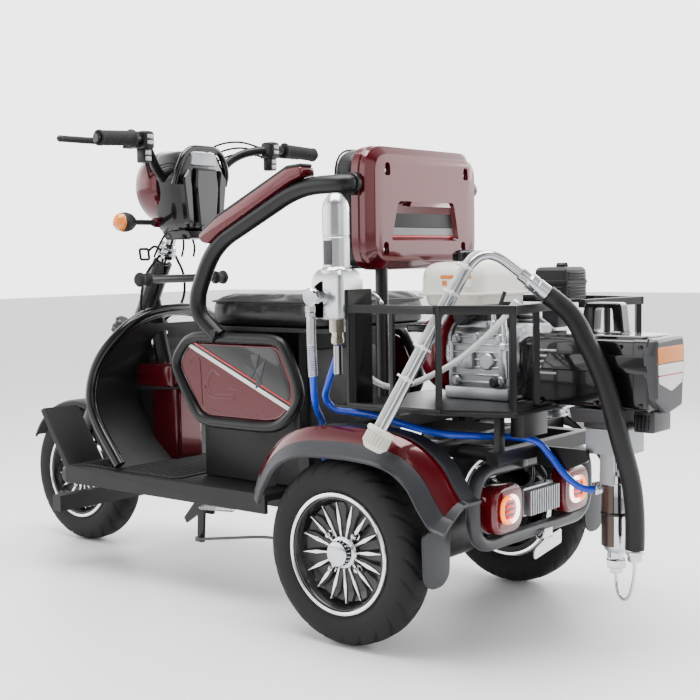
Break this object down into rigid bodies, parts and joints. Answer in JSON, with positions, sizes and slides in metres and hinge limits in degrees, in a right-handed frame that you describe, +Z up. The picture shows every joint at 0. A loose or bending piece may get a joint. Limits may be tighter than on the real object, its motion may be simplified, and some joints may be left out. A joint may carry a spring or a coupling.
{
  "type": "line striping machine",
  "caption": "Ride-on three-wheeled line striping machine: seat and handlebar in front, petrol-driven airless paint pump, filter manifold, hoses and suction tube on a caged rear deck.",
  "frame": {"origin": "middle of the machine's box on the ground, under the seat", "axes": "+X forward along the machine, +Y to its left, +Z up"},
  "size_m": [1.906, 0.804, 1.0604],
  "materials": {
    "black_paint": "satin powder coat",
    "black_plastic": "fine grained moulded plastic",
    "gloss_black": "gloss",
    "maroon_gloss": "metallic maroon under clear coat",
    "grey_satin": "satin",
    "seat_vinyl": "grained vinyl over foam",
    "tyre": "matte rubber with tread",
    "grip_rubber": "knurled",
    "hose_rubber": "smooth black hose cover",
    "hose_blue": "smooth blue jacket",
    "tube_clear": "translucent",
    "polished_rim": "polished",
    "cast_alloy": "die cast",
    "brushed_steel": "turned",
    "chrome": "bright plated",
    "recoil_red": "gloss red",
    "tank_ivory": "gloss ivory",
    "lamp_red": "transparent red lens"
  },
  "bodies": {
    "chassis": {"frame": "black_paint", "shield_guard": "black_paint", "floorboard": "black_plastic", "leg_shield": "black_plastic", "seat_box": "black_plastic", "side_frame_left": "black_paint", "side_frame_right": "black_paint", "side_panel_left": "maroon_gloss", "side_panel_right": "maroon_gloss", "arm_pad_left": "maroon_gloss", "arm_pad_right": "maroon_gloss", "backrest_shell": "maroon_gloss", "backrest_pad": "seat_vinyl", "rear_fender_left": "maroon_gloss", "rear_fender_right": "maroon_gloss", "rear_axle": "black_paint", "tail_guard": "grey_satin", "tail_lamp_left": "lamp_red", "tail_lamp_right": "lamp_red", "deck_plate": "black_paint", "cage_left": "black_paint", "cage_right": "black_paint", "engine_block": "cast_alloy", "recoil_cover": "recoil_red", "fuel_tank": "tank_ivory", "air_cleaner": "black_plastic", "muffler": "cast_alloy", "drive_case": "gloss_black", "pump_bracket": "grey_satin", "pump_cylinder": "chrome", "filter_manifold": "brushed_steel", "suction_tube": "chrome", "spray_gun": "brushed_steel", "suction_hose": "hose_rubber", "feed_hose": "hose_blue", "gun_hose": "hose_blue", "drain_tube": "tube_clear"},
    "steering": {"fork": "chrome", "front_fender": "black_plastic", "handlebar": "gloss_black", "headlamp_housing": "gloss_black", "turn_signal_left": "grey_satin", "turn_signal_right": "grey_satin", "grip_left": "grip_rubber"},
    "front_wheel": {"front_tyre": "tyre", "front_rim": "polished_rim"},
    "rear_wheel_left": {"rear_tyre_left": "tyre", "rear_rim_left": "polished_rim"},
    "rear_wheel_right": {"rear_tyre_right": "tyre", "rear_rim_right": "polished_rim"},
    "throttle": {"throttle_grip": "grip_rubber"},
    "brake_lever_l": {"brake_lever_left": "black_paint"},
    "brake_lever_r": {"brake_lever_right": "black_paint"},
    "key": {"ignition_key": "chrome"},
    "seat": {"seat_cushion": "seat_vinyl"},
    "tank_cap": {"fuel_cap": "black_plastic"},
    "prime_lever": {"prime_valve_lever": "chrome"},
    "pump_rod": {"piston_rod": "chrome"},
    "starter_handle": {"recoil_handle": "gloss_black"},
    "pedal": {"brake_pedal": "black_paint"}
  },
  "joints": [
    {"name": "steering_turn", "type": "hinge", "parent": "chassis", "child": "steering", "pos_m": [0.438, 0, 0.775], "axis": [-0.4848, 0, 0.8746], "range_deg": [-30, 30]},
    {"name": "front_wheel_spin", "type": "hinge", "parent": "steering", "child": "front_wheel", "pos_m": [0.768, 0, 0.185], "axis": [0, 1, 0], "continuous": true},
    {"name": "rear_wheel_left_spin", "type": "hinge", "parent": "chassis", "child": "rear_wheel_left", "pos_m": [-0.41, 0.3035, 0.185], "axis": [0, 1, 0], "continuous": true},
    {"name": "rear_wheel_right_spin", "type": "hinge", "parent": "chassis", "child": "rear_wheel_right", "pos_m": [-0.41, -0.3035, 0.185], "axis": [0, 1, 0], "continuous": true},
    {"name": "throttle_twist", "type": "hinge", "parent": "steering", "child": "throttle", "pos_m": [0.258, -0.246, 1.042], "axis": [-0.0977, -0.9936, -0.057], "range_deg": [0, 60], "stiffness_Nm_per_rad": 0.6},
    {"name": "brake_lever_left_pull", "type": "hinge", "parent": "steering", "child": "brake_lever_l", "pos_m": [0.296, 0.236, 1.037], "axis": [0, 0, 1], "range_deg": [0, 15], "stiffness_Nm_per_rad": 3},
    {"name": "brake_lever_right_pull", "type": "hinge", "parent": "steering", "child": "brake_lever_r", "pos_m": [0.296, -0.236, 1.037], "axis": [0, 0, -1], "range_deg": [0, 15], "stiffness_Nm_per_rad": 3},
    {"name": "key_turn", "type": "hinge", "parent": "steering", "child": "key", "pos_m": [0.348, -0.105, 0.928], "axis": [0, 1, 0], "range_deg": [0, 90]},
    {"name": "seat_lift", "type": "hinge", "parent": "chassis", "child": "seat", "pos_m": [0.113, 0, 0.612], "axis": [0, 1, 0], "range_deg": [0, 55]},
    {"name": "fuel_cap_turn", "type": "hinge", "parent": "chassis", "child": "tank_cap", "pos_m": [-0.495, 0.01, 0.774], "axis": [0, 0, 1], "range_deg": [0, 90]},
    {"name": "prime_valve_turn", "type": "hinge", "parent": "chassis", "child": "prime_lever", "pos_m": [-0.388, 0.222, 0.686], "axis": [0, 1, 0], "range_deg": [0, 90]},
    {"name": "pump_rod_stroke", "type": "slide", "parent": "chassis", "child": "pump_rod", "axis": [0, 0, -1], "range_m": [0, 0.05]},
    {"name": "starter_pull", "type": "slide", "parent": "chassis", "child": "starter_handle", "axis": [0, 1, 0], "range_m": [0, 0.15], "stiffness_N_per_m": 40},
    {"name": "brake_pedal_push", "type": "hinge", "parent": "chassis", "child": "pedal", "pos_m": [0.15, 0, 0.185], "axis": [0, 1, 0], "range_deg": [0, 10], "stiffness_Nm_per_rad": 12, "springref_deg": -8.59}
  ]
}
